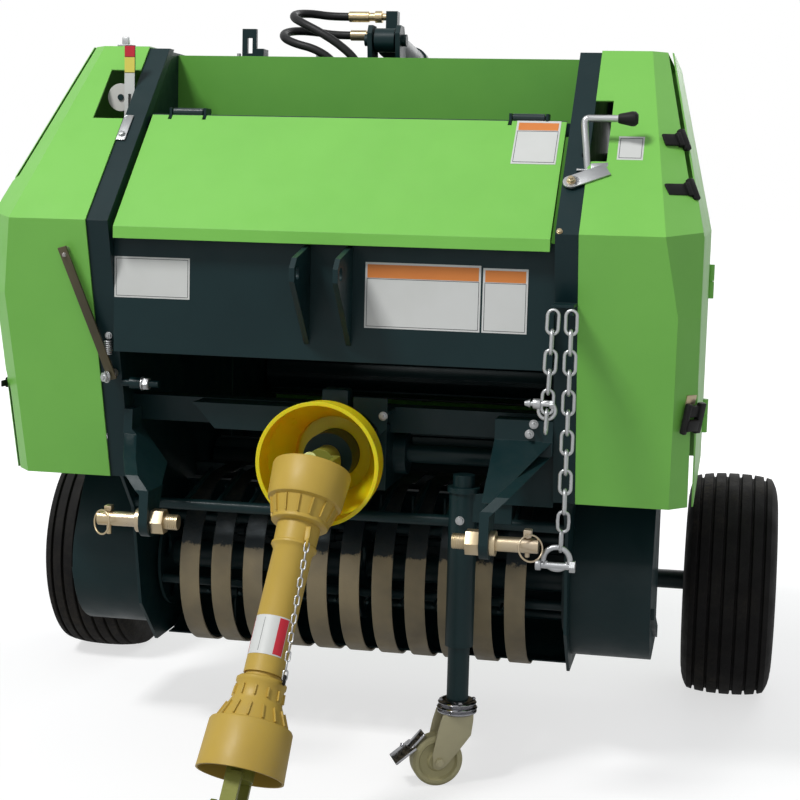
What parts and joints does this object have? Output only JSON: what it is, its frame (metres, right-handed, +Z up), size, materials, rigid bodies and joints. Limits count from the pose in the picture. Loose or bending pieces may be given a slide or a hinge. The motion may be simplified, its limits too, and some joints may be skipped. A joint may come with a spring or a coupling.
{
  "type": "mini round hay baler",
  "caption": "Towed mini round hay baler with roller chamber, spring-tine pickup, hinged tailgate, jack with castor and PTO drive shaft.",
  "frame": {"origin": "on the ground, at the middle of the machine's box as it stands parked", "axes": "-Y is the direction of travel, +X the left side, +Z up"},
  "size_m": [1.374, 1.4639, 1.2262],
  "materials": {
    "green_paint": "gloss",
    "dark_paint": "gloss",
    "tyre": "matt",
    "guard_plastic": "satin",
    "yellow_plastic": "gloss",
    "zinc_steel": "satin",
    "galvanised": "satin",
    "chrome": "polished",
    "castor_nylon": "satin",
    "bare_steel": "satin",
    "worn_steel": "worn",
    "hose_rubber": "satin",
    "white_nylon": "satin"
  },
  "bodies": {
    "root": {"front_cover_left": "green_paint", "front_cover_right": "green_paint", "side_plate_left": "dark_paint", "side_plate_right": "dark_paint", "front_panel": "dark_paint", "twine_box": "green_paint", "top_link_ears": "dark_paint", "hitch_brackets": "dark_paint", "hitch_pin_left": "zinc_steel", "hitch_pin_right": "zinc_steel", "safety_chains": "galvanised", "gearbox": "dark_paint", "pto_shield": "yellow_plastic", "pto_input_yoke": "bare_steel", "pickup_bands": "worn_steel", "pickup_ends": "dark_paint", "pickup_pan": "dark_paint", "hold_down": "dark_paint", "drive_chain": "zinc_steel", "cross_members": "dark_paint", "hydraulic_hose_upper": "hose_rubber", "hydraulic_hose_lower": "hose_rubber", "axle": "dark_paint", "jack_sleeve": "dark_paint", "bale_gauge": "dark_paint", "twine_pulley": "white_nylon", "crank_handle": "bare_steel", "latch_lever": "dark_paint"},
    "wheel_left": {"rim_left": "dark_paint", "tyre_left": "tyre"},
    "wheel_right": {"rim_right": "dark_paint", "tyre_right": "tyre"},
    "jack_leg": {"jack_leg": "dark_paint"},
    "castor_fork": {"castor_fork": "chrome"},
    "castor_wheel": {"castor_wheel": "castor_nylon"},
    "pickup_reel": {"pickup_reel": "dark_paint"},
    "tailgate": {"tailgate_skin": "green_paint", "tailgate_sides": "dark_paint"},
    "cylinder_barrel": {"cylinder_barrel": "dark_paint", "hose_fittings": "zinc_steel"},
    "cylinder_rod": {"cylinder_rod": "chrome"},
    "hood": {"hood": "green_paint"},
    "side_door_left": {"side_door_left": "green_paint"},
    "side_door_right": {"side_door_right": "green_paint"},
    "pto_cross": {"pto_cross": "bare_steel"},
    "pto_rear_half": {"pto_guard_rear": "guard_plastic", "pto_tube_rear": "bare_steel"},
    "pto_front_half": {"pto_guard_front": "guard_plastic", "pto_tube_front": "bare_steel"},
    "pto_end_cross": {"pto_end_cross": "bare_steel"},
    "pto_end_yoke": {"pto_end_yoke": "bare_steel"},
    "roller_a": {"roller_a": "dark_paint"},
    "roller_b": {"roller_b": "dark_paint"},
    "roller_c": {"roller_c": "dark_paint"},
    "roller_d": {"roller_d": "dark_paint"},
    "roller_e": {"roller_e": "dark_paint"},
    "roller_f": {"roller_f": "dark_paint"},
    "roller_g": {"roller_g": "dark_paint"},
    "roller_h": {"roller_h": "dark_paint"},
    "roller_i": {"roller_i": "dark_paint"}
  },
  "joints": [
    {"name": "wheel_left_spin", "type": "hinge", "parent": "root", "child": "wheel_left", "pos_m": [0.605, 0.40196, 0.206], "axis": [1, 0, 0], "continuous": true},
    {"name": "wheel_right_spin", "type": "hinge", "parent": "root", "child": "wheel_right", "pos_m": [-0.605, 0.40196, 0.206], "axis": [1, 0, 0], "continuous": true},
    {"name": "jack_slide", "type": "slide", "parent": "root", "child": "jack_leg", "axis": [0, 0, 1], "range_m": [0, 0.065]},
    {"name": "castor_swivel", "type": "hinge", "parent": "jack_leg", "child": "castor_fork", "pos_m": [0.195, -0.23304, 0.114], "axis": [0, 0, 1], "continuous": true},
    {"name": "castor_spin", "type": "hinge", "parent": "castor_fork", "child": "castor_wheel", "pos_m": [0.166, -0.24604, 0.04], "axis": [-0.4091, 0.9125, 0], "continuous": true},
    {"name": "pickup_spin", "type": "hinge", "parent": "root", "child": "pickup_reel", "pos_m": [0, -0.01204, 0.288], "axis": [1, 0, 0], "continuous": true},
    {"name": "roller_a_spin", "type": "hinge", "parent": "root", "child": "roller_a", "pos_m": [0, 0.23707, 0.96445], "axis": [1, 0, 0], "continuous": true},
    {"name": "roller_b_spin", "type": "hinge", "parent": "root", "child": "roller_b", "pos_m": [0, 0.10256, 0.85552], "axis": [1, 0, 0], "continuous": true},
    {"name": "roller_c_spin", "type": "hinge", "parent": "root", "child": "roller_c", "pos_m": [0, 0.05196, 0.69], "axis": [1, 0, 0], "continuous": true},
    {"name": "roller_d_spin", "type": "hinge", "parent": "root", "child": "roller_d", "pos_m": [0, 0.24672, 0.41185], "axis": [1, 0, 0], "continuous": true},
    {"name": "roller_e_spin", "type": "hinge", "parent": "tailgate", "child": "roller_e", "pos_m": [0, 0.4095, 0.97953], "axis": [1, 0, 0], "continuous": true},
    {"name": "roller_f_spin", "type": "hinge", "parent": "tailgate", "child": "roller_f", "pos_m": [0, 0.56793, 0.88806], "axis": [1, 0, 0], "continuous": true},
    {"name": "roller_g_spin", "type": "hinge", "parent": "tailgate", "child": "roller_g", "pos_m": [0, 0.64233, 0.72094], "axis": [1, 0, 0], "continuous": true},
    {"name": "roller_h_spin", "type": "hinge", "parent": "tailgate", "child": "roller_h", "pos_m": [0, 0.6043, 0.542], "axis": [1, 0, 0], "continuous": true},
    {"name": "roller_i_spin", "type": "hinge", "parent": "tailgate", "child": "roller_i", "pos_m": [0, 0.46835, 0.41959], "axis": [1, 0, 0], "continuous": true},
    {"name": "tailgate_hinge", "type": "hinge", "parent": "root", "child": "tailgate", "pos_m": [0, 0.26796, 1.075], "axis": [1, 0, 0], "range_deg": [0, 65]},
    {"name": "cylinder_tilt", "type": "hinge", "parent": "root", "child": "cylinder_barrel", "pos_m": [0, 0.07796, 1.172], "axis": [1, 0, 0], "range_deg": [0, 38.45]},
    {"name": "cylinder_stroke", "type": "slide", "parent": "cylinder_barrel", "child": "cylinder_rod", "axis": [0, 0.9966, -0.0819], "range_m": [-0.15638, 0]},
    {"name": "hood_hinge", "type": "hinge", "parent": "root", "child": "hood", "pos_m": [0, -0.18304, 1.035], "axis": [-1, 0, 0], "range_deg": [0, 140]},
    {"name": "side_door_left_hinge", "type": "hinge", "parent": "root", "child": "side_door_left", "pos_m": [0.545, 0.28396, 0.64], "axis": [0, 0, 1], "range_deg": [0, 100]},
    {"name": "side_door_right_hinge", "type": "hinge", "parent": "root", "child": "side_door_right", "pos_m": [-0.545, 0.28396, 0.64], "axis": [0, 0, -1], "range_deg": [0, 100]},
    {"name": "pto_pitch", "type": "hinge", "parent": "root", "child": "pto_cross", "pos_m": [0, -0.41004, 0.518], "axis": [-1, 0, 0], "range_deg": [0, 70]},
    {"name": "pto_swing", "type": "hinge", "parent": "pto_cross", "child": "pto_rear_half", "pos_m": [0, -0.41004, 0.518], "axis": [0, 0.8504, -0.5262], "range_deg": [-20, 20]},
    {"name": "pto_telescope", "type": "slide", "parent": "pto_rear_half", "child": "pto_front_half", "axis": [-0.0738, -0.5248, -0.848], "range_m": [0, 0.1]},
    {"name": "pto_end_swing", "type": "hinge", "parent": "pto_front_half", "child": "pto_end_cross", "pos_m": [-0.0371, -0.674, 0.09143], "axis": [0, 0.8504, -0.5262], "range_deg": [-30, 30]},
    {"name": "pto_end_pitch", "type": "hinge", "parent": "pto_end_cross", "child": "pto_end_yoke", "pos_m": [-0.0371, -0.674, 0.09143], "axis": [0.9973, -0.0388, -0.0627], "range_deg": [-30, 30]}
  ],
  "couplings": [
    {"joint": "cylinder_tilt", "follows": "tailgate_hinge", "ratio": 0.59144},
    {"joint": "cylinder_stroke", "follows": "tailgate_hinge", "m_per_rad": -0.13776}
  ]
}
